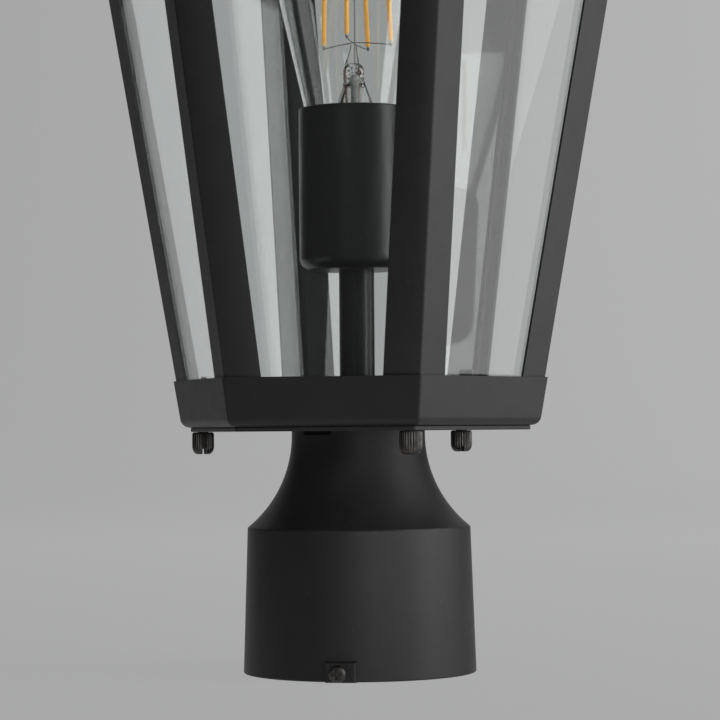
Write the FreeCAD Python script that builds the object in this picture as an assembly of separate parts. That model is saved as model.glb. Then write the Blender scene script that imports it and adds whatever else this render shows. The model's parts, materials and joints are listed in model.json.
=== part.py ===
import FreeCAD, Part
import math
import os

os.makedirs("parts", exist_ok=True)

V = FreeCAD.Vector
UP = V(0, 0, 1)
AXIS = V(0, 0, 0)
COS30 = math.cos(math.radians(30))
QUARTER_IN = 1 - math.sqrt(0.5)  # how far the middle of a quarter turn stands in from its corner, by radius
CUT_PAST = 1.0  # how far a cut runs past the face that it opens
TOUCH = 0.01  # places closer than this count as the same

# ---------------------------------------------------------------- driving dimensions, in mm
# The origin is on the lantern's axis at the bottom of the post fitter, and +Z points up.
# A hexagon's radius runs to its corners, which lie at 0, 60, 120 ... degrees.

# post fitter
POST_BORE_R = 38.5  # takes a 3 inch (76.2 mm) post
LEDGE_DROP = 3.0  # from the skirt's top down to the ledge that stops the post
SKIRT_FOOT_R = 41.8
SKIRT_TOP_R = 40.1
SKIRT_H = 52.0
SHOULDER_ROUND = 0.9
NECK_R = 24.0
NECK_LAND_H = 1.2
FITTER_H = 86.5
FLARE_WALL = 5.5
WEB_T = 5.0
FOOT_ROUND = 0.5
NOTCH_W = 12.6
NOTCH_H = 1.3
NOTCH_D = 3.5
NOTCH_ANGLE = -117.0  # degrees from +X

# set screws, their pads and their cross recess
SET_SCREW_COUNT = 2
SET_SCREW_ANGLE = -87.0  # the first one, in degrees from +X
SET_SCREW_Z = 3.6
SET_SCREW_R = 1.9
SET_SCREW_LEN = 10.0
SET_HEAD_R = 2.95
SET_HEAD_H = 2.0
SET_STAND_OFF = 5.3
PAD_FACE_R = 43.9
PAD_W = 10.4
PAD_H = 6.8
PAD_FLARE = 0.9
PAD_ROOT = 1.0  # how deep into the skirt a pad starts, from the bore
PAD_ROUND = 0.5
CROSS_W = 0.9
CROSS_L = 3.6
CROSS_D = 1.3

# base plate
PLATE_INSET = 3.4  # from the tray's lower corner in to the plate's corner
PLATE_T = 1.6
PLATE_CORNER_ROUND = 1.5
PLATE_EDGE_ROUND = 0.4

# cage: tray, ribs, glass and top frame
TRAY_FOOT_R = 66.2
TRAY_H = 17.0
CAGE_H = 242.0
CAGE_TAPER = 0.177  # growth of the corner radius for each mm of height
SHEET_T = 0.9
TRAY_FLOOR_ROUND = 3.4
TRAY_CORNER_ROUND = 1.2
TRAY_OPENING_R = 43.0
RIB_LEG = 12.8
RIB_T = 0.9
RIB_FOLD_ROUND = 0.8
GLASS_T = 2.6
GLASS_ARRIS = 0.3
GLASS_SEAT = 0.1
GLASS_CORNER_GAP = 2.3
GLASS_LIFT = 0.7
TOP_BAND_H = 15.0
TOP_FLANGE_W = 13.0
TOP_CLIP_W = 12.0
TOP_CLIP_AT = 28.0  # along the pane, from its middle
TOP_CLIP_H = 8.0
TOP_CLIP_LEG = 6.0

# cage studs, clips and thumb nuts
STUD_COUNT = 3
STUD_ANGLE = 60.0  # the first one, in degrees from +X
STUD_R = 2.0
STUD_GLASS_ROOM = 0.7  # between a stud's side and the panes
STUD_HOLE_ROOM = 0.3
STUD_HEAD_H = 1.2
THUMB_R = 4.0
THUMB_H = 8.0
THUMB_ROUND = 0.7
THUMB_BORE_ROOM = 0.06
THUMB_FACE_ROOM = 0.1
THUMB_END = 3.0  # from the stud's end to the nut's lower end
THUMB_SLOT_W = 0.9
THUMB_SLOT_D = 1.8
KNURLS = 20
KNURL_R = 0.3
CLIP_T = 1.2
CLIP_IN = 5.0
CLIP_HALF_W = 6.3
CLIP_ROUND = 1.5
CLIP_GLASS_ROOM = 0.15
CLIP_TAB_W = 3.8
CLIP_TAB_OVER_RIM = 2.0

# stem, threaded pipe, washer and nuts
STEM_R = 6.35
STEM_WALL = 1.0
STEM_LEN = 56.4
PIPE_R = 5.0
PIPE_BORE_R = 3.6
PIPE_HOLE_ROOM = 0.3
PIPE_PAST_NUT = 1.0
PIPE_NUT_FLATS = 14.0
PIPE_NUT_H = 3.5
WASHER_R = 9.0
WASHER_T = 1.0
WASHER_TEETH = 12
THREAD_ROOM = 0.05  # between a thread's solid and the hole that it turns in
GROUND_SCREW_AT = 13.5
GROUND_SCREW_R = 2.0
GROUND_HEAD_R = 3.6
GROUND_HEAD_H = 2.2
GROUND_SCREW_LEN = 4.0

# socket cup and socket
CUP_R = 20.5
CUP_H = 58.3
CUP_WALL = 0.9
CUP_FLOOR_ROUND = 4.7
BRACKET_T = 1.0
BRACKET_W = 14.0
BRACKET_LEG_AT = 8.6
BRACKET_TAB = 6.0
BRACKET_H = 6.4
BRACKET_SCREW_R = 1.5
BRACKET_HEAD_R = 2.6
SOCKET_R = 17.6
SOCKET_H = 30.0
SOCKET_FLOOR_T = 3.2
SOCKET_ROUND = 1.0
SHELL_R = 13.3
SHELL_T = 0.4
SHELL_H = 22.0
SHELL_LIFT = 3.0
SCREW_PITCH = 3.63
SCREW_WAVE = 0.5
CONTACT_L = 14.0
CONTACT_W = 5.0
CONTACT_T = 1.6
TERMINAL_AT = 12.0
TERMINAL_R = 1.75
TERMINAL_HEAD_R = 2.8
SMALL_HEAD_H = 1.6

# bulb
BULB_TIP_GAP = 0.3
BULB_TIP_R = 4.8
BULB_TIP_H = 1.3
BULB_BLACK_FOOT_R = 5.8
BULB_BLACK_R = 11.6
BULB_BLACK_H = 3.6
BULB_CAP_R = 13.0
BULB_CAP_H = 19.6
BULB_CAP_WALL = 0.35
BULB_R = 32.0
BULB_LEN = 143.0
BULB_NECK_R = 13.6
BULB_NECK_SLOPE = 0.218
BULB_CHEEK_R = 40.0
BULB_GLASS_T = 0.8
MOUNT_ROD_R = 2.6
MOUNT_FLARE_H = 21.0
MOUNT_H = 37.0
FILAMENT_COUNT = 4
FILAMENT_ANGLE = -95.4
FILAMENT_R = 0.95
FILAMENT_LEN = 40.0
FILAMENT_FOOT_R = 12.5
FILAMENT_HEAD_R = 9.0
FILAMENT_LIFT = 7.5  # from the glass mount's top to the filaments' lower ends
WIRE_R = 0.35

# roof, cap and finial
EAVE_OVERHANG = 11.0  # from the cage's top corner out to the eave's corner
EAVE_LIP = 7.0
ROOF_T = 0.9
ROOF_RISE = 48.0
ROOF_TOP_R = 26.0
ROOF_ROUND = 1.4
ROOF_SEAT = 0.15
ROOF_VENT_R = 2.0
ROOF_VENT_AT = 9.5
ROOF_VENTS = 6
BRIDGE_W = 20.0
BRIDGE_T = 1.6
BRIDGE_SEAT = 9.0
BRIDGE_SCREW_IN = 4.6
CROSS_SCREW_R = 2.0
CROSS_HEAD_R = 3.6
ROOF_STUD_R = 3.0
ROOF_STUD_HOLE_ROOM = 0.3
ROOF_STUD_IN_FINIAL = 12.0
ROOF_STUD_END_ROOM = 1.0
ROOF_STUD_PAST_NUT = 1.0
ROOF_NUT_FLATS = 10.0
ROOF_NUT_H = 3.2
COLLAR_R = 15.0
COLLAR_WALL = 1.2
COLLAR_H = 12.0
COLLAR_HOLE_R = 1.8
COLLAR_HOLES = 8
CAP_R = 29.0
CAP_LIP = 3.0
CAP_RISE = 13.0
CAP_TOP_R = 9.0
CAP_T = 1.0
FINIAL_H = 50.0
FINIAL_BASE_R = 8.5
FINIAL_BASE_H = 2.5
FINIAL_COVE_H = 5.0
FINIAL_NECK_R = 4.5
FINIAL_NECK_LAND = 1.5
FINIAL_BALL_R = 10.0
FINIAL_THROAT_R = 3.5
FINIAL_THROAT_H = 2.5
FINIAL_BEAD_R = 5.6
FINIAL_BEAD_H = 5.0
FINIAL_SPIRE_R = 3.0
FINIAL_SPIRE_BULGE = 0.6
FINIAL_TIP_R = 0.6

# ---------------------------------------------------------------- places that follow from them

POST_DEPTH = SKIRT_H - LEDGE_DROP
PLATE_TOP = FITTER_H + PLATE_T
TRAY_FLOOR = PLATE_TOP + SHEET_T
RIM_Z = PLATE_TOP + TRAY_H
CAGE_TOP = PLATE_TOP + CAGE_H
WEB_Z = FITTER_H - WEB_T
PIPE_FOOT = WEB_Z - WASHER_T - PIPE_NUT_H - PIPE_PAST_NUT
STEM_TOP = PLATE_TOP + STEM_LEN
CUP_FLOOR = STEM_TOP + CUP_WALL
BRACKET_TOP = CUP_FLOOR + BRACKET_H
PIPE_TOP = CUP_FLOOR + BRACKET_T + PIPE_NUT_H + PIPE_PAST_NUT
SOCKET_FLOOR = BRACKET_TOP + SOCKET_FLOOR_T
BULB_TIP_Z = SOCKET_FLOOR + CONTACT_T + BULB_TIP_GAP
BULB_BLACK_Z = BULB_TIP_Z + BULB_TIP_H
BULB_CAP_Z = BULB_BLACK_Z + BULB_BLACK_H
BULB_GLASS_Z = BULB_CAP_Z + BULB_CAP_H
BULB_TOP = BULB_TIP_Z + BULB_LEN
MOUNT_TOP = BULB_GLASS_Z + MOUNT_H

FACE_LEAN = math.atan(CAGE_TAPER * COS30)


def corner_depth(thickness):
    """How far a leaning wall of this thickness moves a hexagon's corner inwards."""
    return thickness / math.cos(FACE_LEAN) / COS30


def tray_r(z):
    return TRAY_FOOT_R + CAGE_TAPER * (z - PLATE_TOP)


def rib_r(z):
    return tray_r(z) - corner_depth(SHEET_T)


def glass_r(z):
    return rib_r(z) - corner_depth(RIB_T + GLASS_SEAT)


def pane_inside(z):
    """How far from the axis the panes' inner faces lie at height z."""
    return glass_r(z) * COS30 - GLASS_T / math.cos(FACE_LEAN)


PLATE_R = TRAY_FOOT_R - PLATE_INSET
STUD_CIRCLE_R = (pane_inside(TRAY_FLOOR) - STUD_GLASS_ROOM - STUD_R) / COS30
EAVE_R = tray_r(CAGE_TOP) + EAVE_OVERHANG
ROOF_PITCH = ROOF_RISE / (EAVE_R - ROOF_TOP_R)
ROOF_FACE_T = ROOF_T * math.hypot(1, ROOF_PITCH / COS30)  # the sheet's thickness along Z
EAVE_Z = CAGE_TOP + ROOF_SEAT + ROOF_FACE_T - (EAVE_R - tray_r(CAGE_TOP)) * ROOF_PITCH
ROOF_TOP = EAVE_Z + ROOF_RISE
CAP_PITCH = CAP_RISE / (CAP_R - CAP_TOP_R)
CAP_FACE_T = CAP_T * math.hypot(1, CAP_PITCH)
CAP_Z = ROOF_TOP + COLLAR_H + CAP_FACE_T - CAP_LIP - (CAP_R - COLLAR_R) * CAP_PITCH + ROOF_SEAT
CAP_TOP = CAP_Z + CAP_LIP + CAP_RISE
FINIAL_TOP = CAP_TOP + FINIAL_H

SCREW_ANGLES = [SET_SCREW_ANGLE + 360 / SET_SCREW_COUNT * k for k in range(SET_SCREW_COUNT)]
STUD_ANGLES = [STUD_ANGLE + 360 / STUD_COUNT * k for k in range(STUD_COUNT)]


# ---------------------------------------------------------------- shared shapes

def save(name, shape):
    shape.exportStep("parts/" + name + ".step")


def polar(radius, degrees, z=0.0):
    turn = math.radians(degrees)
    return V(radius * math.cos(turn), radius * math.sin(turn), z)


def turned(shape, degrees):
    copy = shape.copy()
    copy.rotate(AXIS, UP, degrees)
    return copy


def cylinder(radius, height, foot, direction=UP):
    return Part.makeCylinder(radius, height, foot, direction)


def tube(radius, wall, height, z):
    return cylinder(radius, height, V(0, 0, z)).cut(cylinder(radius - wall, height, V(0, 0, z)))


def box(low, high):
    return Part.makeBox(high.x - low.x, high.y - low.y, high.z - low.z, low)


def rod(start, end, radius):
    return cylinder(radius, (end - start).Length, start, end - start)


def hexagon(radius, z):
    return Part.makePolygon([polar(radius, 60 * k, z) for k in range(7)])


def hex_frustum(foot_r, foot_z, top_r, top_z):
    return Part.makeLoft([hexagon(foot_r, foot_z), hexagon(top_r, top_z)], True, True)


def hex_prism(radius, foot_z, top_z):
    return hex_frustum(radius, foot_z, radius, top_z)


def hex_nut(flats, height, hole_r, z):
    nut = hex_prism(flats / 2 / COS30, z, z + height)
    cone_r = flats / 2 + height
    for foot, low_r, high_r in ((z, flats / 2, cone_r), (z, cone_r, flats / 2)):
        nut = nut.common(Part.makeCone(low_r, high_r, height, V(0, 0, foot)))
    return nut.cut(cylinder(hole_r, height, V(0, 0, z)))


def edges_where(shape, test):
    return [e for e in shape.Edges if test(e)]


def rises(edge, low_z, high_z):
    """True for a straight edge that climbs from low_z to high_z."""
    box_ = edge.BoundBox
    return abs(box_.ZMin - low_z) < TOUCH and abs(box_.ZMax - high_z) < TOUCH


def lies_at(edge, z):
    return abs(edge.BoundBox.ZMin - z) < TOUCH and abs(edge.BoundBox.ZMax - z) < TOUCH


def reaches(edge, z):
    return abs(edge.BoundBox.ZMax - z) < TOUCH


def outline(*steps):
    """A wire in the XZ plane. A step is (r, z), or (r, z, r_mid, z_mid) for an arc through a mid point."""
    points = [V(s[0], 0, s[1]) for s in steps]
    edges = []
    for k, start in enumerate(points):
        following = (k + 1) % len(points)
        step = steps[following]
        end = points[following]
        if len(step) == 2:
            edges.append(Part.LineSegment(start, end).toShape())
        else:
            edges.append(Part.Arc(start, V(step[2], 0, step[3]), end).toShape())
    return Part.Wire(edges)


def lathe(*steps):
    return Part.Face(outline(*steps)).revolve(AXIS, UP, 360)


def arc_mid(centre, radius, start, end):
    """The middle point of the short arc from start to end."""
    middle = ((start[0] + end[0]) / 2 - centre[0], (start[1] + end[1]) / 2 - centre[1])
    scale = radius / math.hypot(*middle)
    return centre[0] + middle[0] * scale, centre[1] + middle[1] * scale


def cross_recess(length, width, depth):
    """The cutter for a cross slot in a screw head whose face is at x = 0 and looks along +X."""
    tapers = []
    for half_y, half_z in ((length / 2, width / 2), (width / 2, length / 2)):
        tapers.append(box(V(-depth, -half_y, -half_z), V(depth, half_y, half_z)))
    return tapers[0].fuse(tapers[1])


def pan_screw(radius, length, head_r, head_h):
    """A pan head screw along X: the shank ends at x = -length, the head sits on x = 0."""
    head = cylinder(head_r, head_h, AXIS, V(1, 0, 0))
    head = head.makeFillet(head_h * 0.6, edges_where(head, lambda e: e.BoundBox.XMin > head_h - TOUCH))
    shank = cylinder(radius, length, V(-length, 0, 0), V(1, 0, 0))
    recess = cross_recess(CROSS_L * head_r / SET_HEAD_R, CROSS_W, CROSS_D * head_h / SET_HEAD_H)
    recess.translate(V(head_h, 0, 0))
    return head.fuse(shank).removeSplitter().cut(recess)


def upright_screw(radius, length, head_r, head_h, at, head_up):
    """A pan head screw along Z whose head sits on the point at."""
    screw = pan_screw(radius, length, head_r, head_h)
    screw.rotate(AXIS, V(0, 1, 0), -90 if head_up else 90)
    screw.translate(at)
    return screw


# ---------------------------------------------------------------- post fitter and what it carries

def flare_circle(foot_r, foot_z, top_r, top_z):
    """Centre and radius of the concave arc that ends upright at the top."""
    run = foot_r - top_r
    rise = top_z - foot_z
    radius = (run * run + rise * rise) / (2 * run)
    return (top_r + radius, top_z), radius


def pad(angle):
    """A boss for a set screw: flat outside, with sloping sides, standing on the skirt's foot."""
    root_x = POST_BORE_R + PAD_ROOT
    sections = []
    for x, grow in ((root_x, PAD_FLARE), (PAD_FACE_R, 0)):
        half = PAD_W / 2 + grow
        top = PAD_H + grow
        corners = [V(x, -half, 0), V(x, half, 0), V(x, half, top), V(x, -half, top), V(x, -half, 0)]
        sections.append(Part.makePolygon(corners))
    boss = Part.makeLoft(sections, True, True)
    face = edges_where(boss, lambda e: e.BoundBox.XMin > PAD_FACE_R - TOUCH)
    return turned(boss.makeFillet(PAD_ROUND, face), angle)


def set_screw_hole(angle):
    hole = cylinder(SET_SCREW_R + THREAD_ROOM, PAD_FACE_R, V(0, 0, SET_SCREW_Z), V(1, 0, 0))
    return turned(hole, angle)


def post_fitter():
    land_z = FITTER_H - NECK_LAND_H
    centre, radius = flare_circle(SKIRT_TOP_R, SKIRT_H, NECK_R, land_z)
    outer_mid = arc_mid(centre, radius, (SKIRT_TOP_R, SKIRT_H), (NECK_R, land_z))
    inner_radius = radius + FLARE_WALL

    def inner_r(z):
        return centre[0] - math.sqrt(inner_radius ** 2 - (centre[1] - z) ** 2)

    ledge = (inner_r(POST_DEPTH), POST_DEPTH)
    ceiling = (inner_r(WEB_Z), WEB_Z)
    inner_mid = arc_mid(centre, inner_radius, ledge, ceiling)
    hole_r = PIPE_R + PIPE_HOLE_ROOM
    body = lathe(
        (POST_BORE_R, 0),
        (SKIRT_FOOT_R - FOOT_ROUND, 0),
        (SKIRT_FOOT_R, FOOT_ROUND, SKIRT_FOOT_R - FOOT_ROUND * QUARTER_IN, FOOT_ROUND * QUARTER_IN),
        (SKIRT_TOP_R, SKIRT_H),
        (NECK_R, land_z, *outer_mid),
        (NECK_R, FITTER_H),
        (hole_r, FITTER_H),
        (hole_r, WEB_Z),
        ceiling,
        (*ledge, *inner_mid),
        (POST_BORE_R, POST_DEPTH),
    )
    shoulder = edges_where(body, lambda e: lies_at(e, SKIRT_H))
    body = body.makeFillet(SHOULDER_ROUND, shoulder)
    for angle in SCREW_ANGLES:
        body = body.fuse(pad(angle))
    for angle in SCREW_ANGLES:
        body = body.cut(set_screw_hole(angle))
    notch_low = V(NECK_R - NOTCH_D, -NOTCH_W / 2, FITTER_H - NOTCH_H)
    notch = box(notch_low, V(NECK_R + CUT_PAST, NOTCH_W / 2, FITTER_H))
    body = body.cut(turned(notch, NOTCH_ANGLE))
    ground_hole_r = GROUND_SCREW_R + THREAD_ROOM
    body = body.cut(cylinder(ground_hole_r, GROUND_SCREW_LEN, V(GROUND_SCREW_AT, 0, WEB_Z)))
    return body.cut(cylinder(POST_BORE_R, POST_DEPTH, AXIS))


def set_screw(angle):
    screw = pan_screw(SET_SCREW_R, SET_SCREW_LEN, SET_HEAD_R, SET_HEAD_H)
    screw.translate(V(PAD_FACE_R + SET_STAND_OFF, 0, SET_SCREW_Z))
    return turned(screw, angle)


def base_plate():
    plate = hex_prism(PLATE_R, FITTER_H, PLATE_TOP)
    corners = edges_where(plate, lambda e: rises(e, FITTER_H, PLATE_TOP))
    plate = plate.makeFillet(PLATE_CORNER_ROUND, corners)
    rims = edges_where(plate, lambda e: lies_at(e, FITTER_H) or lies_at(e, PLATE_TOP))
    plate = plate.makeFillet(PLATE_EDGE_ROUND, rims)
    plate = plate.cut(cylinder(PIPE_R + PIPE_HOLE_ROOM, PLATE_T, V(0, 0, FITTER_H)))
    for angle in STUD_ANGLES:
        hole = cylinder(STUD_R + STUD_HOLE_ROOM, PLATE_T, polar(STUD_CIRCLE_R, angle, FITTER_H))
        plate = plate.cut(hole)
    return plate


def toothed_washer():
    top = WEB_Z
    washer = tube(WASHER_R, WASHER_R - PIPE_R - PIPE_HOLE_ROOM, WASHER_T, top - WASHER_T)
    pitch = 2 * math.pi * WASHER_R / WASHER_TEETH
    half_slot = pitch / 8
    slot_low = V(WASHER_R - pitch / 3, -half_slot, top - WASHER_T)
    slot = box(slot_low, V(WASHER_R + CUT_PAST, half_slot, top))
    for k in range(WASHER_TEETH):
        washer = washer.cut(turned(slot, 360 / WASHER_TEETH * k))
    return washer


def ground_screw():
    at = V(GROUND_SCREW_AT, 0, WEB_Z)
    return upright_screw(GROUND_SCREW_R, GROUND_SCREW_LEN, GROUND_HEAD_R, GROUND_HEAD_H, at, False)


# ---------------------------------------------------------------- socket cup and socket

def socket_cup():
    inside_r = CUP_R - CUP_WALL
    top = STEM_TOP + CUP_H
    rim = CUP_WALL / 2
    hole_r = PIPE_R + PIPE_HOLE_ROOM
    bend = CUP_FLOOR_ROUND
    bend_mid = bend * QUARTER_IN
    inner_bend = bend - CUP_WALL
    inner_mid = inner_bend * QUARTER_IN
    return lathe(
        (hole_r, STEM_TOP),
        (CUP_R - bend, STEM_TOP),
        (CUP_R, STEM_TOP + bend, CUP_R - bend_mid, STEM_TOP + bend_mid),
        (CUP_R, top - rim),
        (inside_r, top - rim, inside_r + rim, top),
        (inside_r, CUP_FLOOR + inner_bend),
        (inside_r - inner_bend, CUP_FLOOR, inside_r - inner_mid, CUP_FLOOR + inner_mid),
        (hole_r, CUP_FLOOR),
    )


def socket_bracket():
    half_w = BRACKET_W / 2
    leg_out = BRACKET_LEG_AT + BRACKET_T
    tab_z = BRACKET_TOP - BRACKET_T
    tab_end = leg_out + BRACKET_TAB
    strap = box(V(-leg_out, -half_w, CUP_FLOOR), V(leg_out, half_w, CUP_FLOOR + BRACKET_T))
    for side in (0, 180):
        leg = box(V(BRACKET_LEG_AT, -half_w, CUP_FLOOR), V(leg_out, half_w, BRACKET_TOP))
        tab = box(V(BRACKET_LEG_AT, -half_w, tab_z), V(tab_end, half_w, BRACKET_TOP))
        hole = cylinder(BRACKET_SCREW_R + THREAD_ROOM, BRACKET_T, V(bracket_screw_x(), 0, tab_z))
        strap = strap.fuse(turned(leg.fuse(tab).cut(hole), side))
    strap = strap.removeSplitter()
    return strap.cut(cylinder(PIPE_R + PIPE_HOLE_ROOM, BRACKET_T, V(0, 0, CUP_FLOOR)))


def bracket_screw_x():
    return BRACKET_LEG_AT + BRACKET_T + BRACKET_TAB / 2


def bracket_screws():
    screws = []
    for side in (0, 180):
        at = V(bracket_screw_x(), 0, BRACKET_TOP - BRACKET_T)
        length = BRACKET_T + SOCKET_FLOOR_T
        screw = upright_screw(BRACKET_SCREW_R, length, BRACKET_HEAD_R, SMALL_HEAD_H, at, False)
        screws.append(turned(screw, side))
    return Part.makeCompound(screws)


def terminal_screws():
    screws = []
    for side in (90, 270):
        at = V(TERMINAL_AT, 0, BRACKET_TOP)
        screw = upright_screw(TERMINAL_R, SOCKET_FLOOR_T, TERMINAL_HEAD_R, SMALL_HEAD_H, at, False)
        screws.append(turned(screw, side))
    return Part.makeCompound(screws)


def shell_pocket_r():
    return SHELL_R + SHELL_T + SCREW_WAVE + THREAD_ROOM


def socket_insulator():
    body = cylinder(SOCKET_R, SOCKET_H, V(0, 0, BRACKET_TOP))
    ends = edges_where(body, lambda e: lies_at(e, BRACKET_TOP) or lies_at(e, BRACKET_TOP + SOCKET_H))
    body = body.makeFillet(SOCKET_ROUND, ends)
    body = body.cut(cylinder(shell_pocket_r(), SOCKET_H, V(0, 0, SOCKET_FLOOR)))
    for x in (-bracket_screw_x(), bracket_screw_x()):
        body = body.cut(cylinder(BRACKET_SCREW_R + THREAD_ROOM, SOCKET_FLOOR_T, V(x, 0, BRACKET_TOP)))
    for y in (-TERMINAL_AT, TERMINAL_AT):
        body = body.cut(cylinder(TERMINAL_R + THREAD_ROOM, SOCKET_FLOOR_T, V(0, y, BRACKET_TOP)))
    return body


def threaded_wall(radius, thickness, z, height, wave):
    """A thin round wall with rounded thread ridges that stand out by wave, drawn as rings."""
    turns = int(height / SCREW_PITCH)
    start = z + (height - turns * SCREW_PITCH) / 2
    outer = radius + thickness
    steps = [(radius, z), (outer, z), (outer, start)]
    for k in range(turns):
        foot = start + SCREW_PITCH * k
        steps.append((outer, foot + SCREW_PITCH, outer + wave, foot + SCREW_PITCH / 2))
    steps += [(outer, z + height), (radius, z + height), (radius, start + SCREW_PITCH * turns)]
    for k in reversed(range(turns)):
        foot = start + SCREW_PITCH * k
        steps.append((radius, foot, radius + wave, foot + SCREW_PITCH / 2))
    return lathe(*steps)


def screw_shell():
    return threaded_wall(SHELL_R, SHELL_T, SOCKET_FLOOR + SHELL_LIFT, SHELL_H, SCREW_WAVE)


def centre_contact():
    half_l = CONTACT_L / 2
    half_w = CONTACT_W / 2
    leaf = box(V(-half_l, -half_w, SOCKET_FLOOR), V(half_l, half_w, SOCKET_FLOOR + CONTACT_T))
    face_edges = edges_where(leaf, lambda e: lies_at(e, SOCKET_FLOOR + CONTACT_T))
    crown = [e for e in face_edges if e.Length < (CONTACT_W + CONTACT_L) / 2]
    return leaf.makeFillet(CONTACT_T * 0.9, crown)


# ---------------------------------------------------------------- bulb

def bulb_solid(inset):
    """The bulb's outer form moved inwards by inset: a cone, a cheek that bends upright, and a round dome."""
    lean = math.atan(BULB_NECK_SLOPE)
    cheek = BULB_CHEEK_R - inset
    dome = BULB_R - inset
    widest_z = BULB_TOP - BULB_R
    cheek_x = BULB_R - BULB_CHEEK_R
    return lathe(
        (0, BULB_GLASS_Z),
        (BULB_NECK_R - inset, BULB_GLASS_Z),
        (cheek_x + cheek * math.cos(lean), widest_z - cheek * math.sin(lean)),
        (dome, widest_z, cheek_x + cheek * math.cos(lean / 2), widest_z - cheek * math.sin(lean / 2)),
        (0, widest_z + dome, dome * math.sqrt(0.5), widest_z + dome * math.sqrt(0.5)),
    )


def bulb_glass():
    return bulb_solid(0).cut(bulb_solid(BULB_GLASS_T))


def bulb_cap():
    return threaded_wall(
        BULB_CAP_R - SCREW_WAVE - BULB_CAP_WALL, BULB_CAP_WALL, BULB_CAP_Z, BULB_CAP_H, SCREW_WAVE
    )


def bulb_black():
    return Part.makeCone(BULB_BLACK_FOOT_R, BULB_BLACK_R, BULB_BLACK_H, V(0, 0, BULB_BLACK_Z))


def bulb_tip():
    tip = cylinder(BULB_TIP_R, BULB_TIP_H, V(0, 0, BULB_TIP_Z))
    return tip.makeFillet(BULB_TIP_H * 0.7, edges_where(tip, lambda e: lies_at(e, BULB_TIP_Z)))


def glass_mount():
    foot = BULB_GLASS_Z
    return lathe(
        (0, foot),
        (BULB_NECK_R - BULB_GLASS_T - THREAD_ROOM, foot),
        (MOUNT_ROD_R, foot + MOUNT_FLARE_H, MOUNT_ROD_R * 1.9, foot + MOUNT_FLARE_H * 0.4),
        (MOUNT_ROD_R, MOUNT_TOP - MOUNT_ROD_R),
        (0, MOUNT_TOP, MOUNT_ROD_R * math.sqrt(0.5), MOUNT_TOP - MOUNT_ROD_R * QUARTER_IN),
    )


def filament_ends(k):
    angle = FILAMENT_ANGLE + 360 / FILAMENT_COUNT * k
    foot = polar(FILAMENT_FOOT_R, angle, MOUNT_TOP + FILAMENT_LIFT)
    head = polar(FILAMENT_HEAD_R, angle, MOUNT_TOP + FILAMENT_LIFT + FILAMENT_LEN)
    return foot, head


def filaments():
    return Part.makeCompound([rod(*filament_ends(k), FILAMENT_R) for k in range(FILAMENT_COUNT)])


def support_wires():
    """A post up the middle with an arm out to each end of each filament."""
    crown = V(0, 0, MOUNT_TOP + FILAMENT_LIFT + FILAMENT_LEN)
    wires = rod(V(0, 0, MOUNT_TOP), crown + V(0, 0, WIRE_R), WIRE_R)
    for k in range(FILAMENT_COUNT):
        foot, head = filament_ends(k)
        wires = wires.fuse(rod(V(0, 0, MOUNT_TOP + WIRE_R), foot, WIRE_R))
        wires = wires.fuse(rod(crown, head, WIRE_R))
    return wires.removeSplitter().cut(filaments())


# ---------------------------------------------------------------- cage

def tray():
    top = RIM_Z
    shell = hex_frustum(tray_r(PLATE_TOP), PLATE_TOP, tray_r(top), top)
    shell = rounded_pan(shell, PLATE_TOP, top, TRAY_CORNER_ROUND, TRAY_FLOOR_ROUND)
    hollow = hex_frustum(rib_r(TRAY_FLOOR), TRAY_FLOOR, rib_r(top), top)
    hollow = rounded_pan(hollow, TRAY_FLOOR, top, TRAY_CORNER_ROUND / 4, TRAY_FLOOR_ROUND - SHEET_T)
    pan = shell.cut(hollow)
    pan = pan.cut(cylinder(TRAY_OPENING_R, SHEET_T, V(0, 0, PLATE_TOP)))
    for angle in STUD_ANGLES:
        pan = pan.cut(cylinder(STUD_R + THREAD_ROOM, SHEET_T, polar(STUD_CIRCLE_R, angle, PLATE_TOP)))
    return pan


def rounded_pan(shape, floor_z, top_z, corner_round, floor_round):
    shape = shape.makeFillet(floor_round, edges_where(shape, lambda e: lies_at(e, floor_z)))
    corners = edges_where(shape, lambda e: reaches(e, top_z) and not lies_at(e, top_z))
    return shape.makeFillet(corner_round, corners)


def rib_section(angle, z):
    """A folded strip's outline at height z: two legs along the hexagon's sides."""
    radius = rib_r(z)
    depth = RIB_T / math.cos(FACE_LEAN)
    fold = polar(radius, angle, z)
    leg_a = fold + polar(RIB_LEG, angle + 120)
    leg_b = fold + polar(RIB_LEG, angle - 120)
    inner_a = leg_a - polar(depth, angle + 30)
    inner_b = leg_b - polar(depth, angle - 30)
    inner_fold = polar(radius - corner_depth(RIB_T), angle, z)
    return Part.makePolygon([leg_a, fold, leg_b, inner_b, inner_fold, inner_a, leg_a])


def corner_rib(angle):
    foot = TRAY_FLOOR + TRAY_FLOOR_ROUND - SHEET_T
    top = CAGE_TOP - SHEET_T
    rib = Part.makeLoft([rib_section(angle, foot), rib_section(angle, top)], True, True)
    fold_foot = polar(rib_r(foot), angle, foot)
    fold = edges_where(rib, lambda e: rises(e, foot, top) and starts_at(e, fold_foot))
    return rib.makeFillet(RIB_FOLD_ROUND, fold)


def starts_at(edge, point):
    return min((v.Point - point).Length for v in edge.Vertexes) < TOUCH


def pane_section(angle, z):
    outer = glass_r(z) * COS30
    inner = pane_inside(z)
    half = glass_r(z) / 2 - GLASS_CORNER_GAP
    points = []
    for distance, side in ((outer, half), (outer, -half), (inner, -half), (inner, half), (outer, half)):
        points.append(polar(distance, angle, z) + polar(side, angle + 90))
    return Part.makePolygon(points)


def glass_pane(angle):
    foot = TRAY_FLOOR + GLASS_LIFT
    top = CAGE_TOP - SHEET_T - GLASS_LIFT
    pane = Part.makeLoft([pane_section(angle, foot), pane_section(angle, top)], True, True)
    return pane.makeChamfer(GLASS_ARRIS, pane.Edges)


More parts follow.
